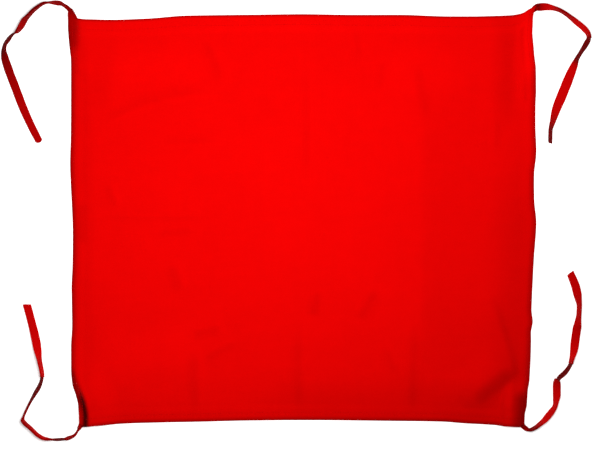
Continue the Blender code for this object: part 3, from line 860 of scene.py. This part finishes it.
def threadMaterial(name, look):
    material = bpy.data.materials.new(name)
    material.use_nodes = True
    tree = material.node_tree
    shader = tree.nodes["Principled BSDF"]
    place = tree.nodes.new("ShaderNodeTexCoord").outputs["Object"]
    twist = noiseOf(tree, place, [threadGrain["twists"]] * 3)
    dyeWith(tree, shader, look["colour"], calc(tree, "MULTIPLY_ADD", twist, threadGrain["tone"], 1.0))
    shader.inputs["Roughness"].default_value = look["roughness"]
    shader.inputs["Specular IOR Level"].default_value = threadGrain["specular"]
    shader.inputs["Specular Tint"].default_value = (*clothLook["shine"], 1.0)
    return material


thread = threadMaterial("redThread", threadLook)
tackThread = threadMaterial("deepRedThread", tackLook)


def modelStitch():
    bpy.ops.object.select_all(action="DESELECT")
    bpy.ops.mesh.primitive_uv_sphere_add(segments=8, ring_count=6, radius=0.5, rotation=(0, math.pi / 2, 0))
    bpy.ops.object.transform_apply(rotation=True)
    stitch = bpy.context.object
    points = np.array([tuple(vertex.co) for vertex in stitch.data.vertices])
    faces = [list(face.vertices) for face in stitch.data.polygons]
    bpy.data.objects.remove(stitch, do_unlink=True)
    return points, faces


stitchPoints, stitchFaces = modelStitch()


def layStitches(name, starts, ends, normals, width, bow=0.12, material=thread):
    # one copy of the stitch from each start to its end, bowed out along the normal
    starts, ends, normals = (np.asarray(values, float) for values in (starts, ends, normals))
    run = ends - starts
    side = np.cross(normals, run)
    side /= np.linalg.norm(side, axis=1)[:, None]
    x, y, z = stitchPoints.T
    places = ((starts + ends)[:, None] / 2 + x[None, :, None] * run[:, None]
              + (y * width)[None, :, None] * side[:, None]
              + (z * width + bow * (1 - 4 * x ** 2))[None, :, None] * normals[:, None])
    count = len(stitchPoints)
    faces = [[corner + i * count for corner in face] for i in range(len(starts)) for face in stitchFaces]
    mesh = bpy.data.meshes.new(name)
    mesh.from_pydata((places.reshape(-1, 3) * mm).tolist(), [], faces)
    piece = smoothPiece(name, mesh)
    piece.data.materials.append(material)
    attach(piece, "root")
    return piece


def clothTop(u, v):
    # a place on the cloth's upper side and its normal, from the underside and its slopes
    step = 0.4
    here = clothSurface(u, v)
    right = clothSurface(u + step / clothWidth, v) - clothSurface(u - step / clothWidth, v)
    upward = clothSurface(u, v + step / clothHeight) - clothSurface(u, v - step / clothHeight)
    normal = np.cross(right, upward)
    normal /= np.linalg.norm(normal, axis=1)[:, None]
    return here + normal * clothCut["thickness"], normal


def makeHemStitches():
    starts, ends, normals = [], [], []
    for edge, width in clothCut["hemWidths"].items():
        length = clothHeight if edge in ("left", "right") else clothWidth
        along = np.arange(stitchCut["hemMargin"], length - stitchCut["hemMargin"], stitchCut["hemPitch"])
        deep = np.full(len(along), width - seam["inside"])
        first, normal = clothTop(*hemPlace(edge, along, deep))
        starts.append(first)
        ends.append(clothTop(*hemPlace(edge, along + stitchCut["hemLength"], deep))[0])
        normals.append(normal)
    return layStitches("hemStitches", np.concatenate(starts), np.concatenate(ends), np.concatenate(normals),
                       stitchCut["hemThread"])


def alongRoute(route, values, at):
    return np.column_stack([np.interp(at, route["at"], values[:, axis]) for axis in range(3)])


def makeTieStitches():
    starts, ends, normals = [], [], []
    for route in routes.values():
        reach = route["width"] / 2 + tieCut["seamOffset"]
        for face in (1, -1):
            lift = face * stitchCut["tieSunk"] * route["thick"] / 2
            line = route["middle"] + reach[:, None] * route["across"] + lift[:, None] * route["normal"]
            begin = np.arange(stitchCut["tieStart"], route["at"][-1] - stitchCut["tieStop"],
                              stitchCut["tiePitch"])
            starts.append(alongRoute(route, line, begin))
            ends.append(alongRoute(route, line, begin + stitchCut["tieLength"]))
            normal = alongRoute(route, face * route["normal"], begin)
            normals.append(normal / np.linalg.norm(normal, axis=1)[:, None])
    return layStitches("tieStitches", np.concatenate(starts), np.concatenate(ends), np.concatenate(normals),
                       stitchCut["tieThread"], bow=0.06)


# Bar tacks: a block of close threads over each tie's sewn end
TackRow = namedtuple("TackRow", "tie x y turn length width")
tacks = [TackRow(*row) for row in (
    ("topLeft", -279.5, 249.5, 118, 6.0, 6.0),
    ("topRight", 281.8, 253.8, 8, 6.8, 8.0),
    ("bottomLeft", -269.5, -252.0, 238, 6.0, 6.0),
    ("bottomRight", 266.5, -251.5, -55, 6.0, 6.0),
)]


def topHeight(x, y):
    # the height of the highest piece under a point, from a ray straight down
    hit, place = bpy.context.scene.ray_cast(
        bpy.context.evaluated_depsgraph_get(), Vector((x * mm, y * mm, 0.05)), Vector((0, 0, -1)))[:2]
    return place.z / mm if hit else 0.0


def makeTacks():
    starts, ends, normals = [], [], []
    for tack in tacks:
        turn = math.radians(tack.turn)
        along = np.array((math.cos(turn), math.sin(turn)))
        across = np.array((-along[1], along[0]))
        count = int(tack.length / stitchCut["tackPitch"])
        for i in range(count):
            middle = np.array((tack.x, tack.y)) + along * (i / (count - 1) - 0.5) * tack.length
            aside = across * tack.width / 2 + along * stitchCut["tackSlant"]
            left, centre, right = [(*spot, topHeight(*spot) + stitchCut["tackProud"])
                                   for spot in (middle - aside, middle, middle + aside)]
            starts += [left, centre]
            ends += [centre, right]
            normals += [(0, 0, 1)] * 2
    return layStitches("barTacks", starts, ends, normals, stitchCut["tackThread"], bow=0.05,
                       material=tackThread)


hemStitches = makeHemStitches()
tieStitches = makeTieStitches()
makeTacks()
print("stitches made,", len(hemStitches.data.polygons) + len(tieStitches.data.polygons), "faces")
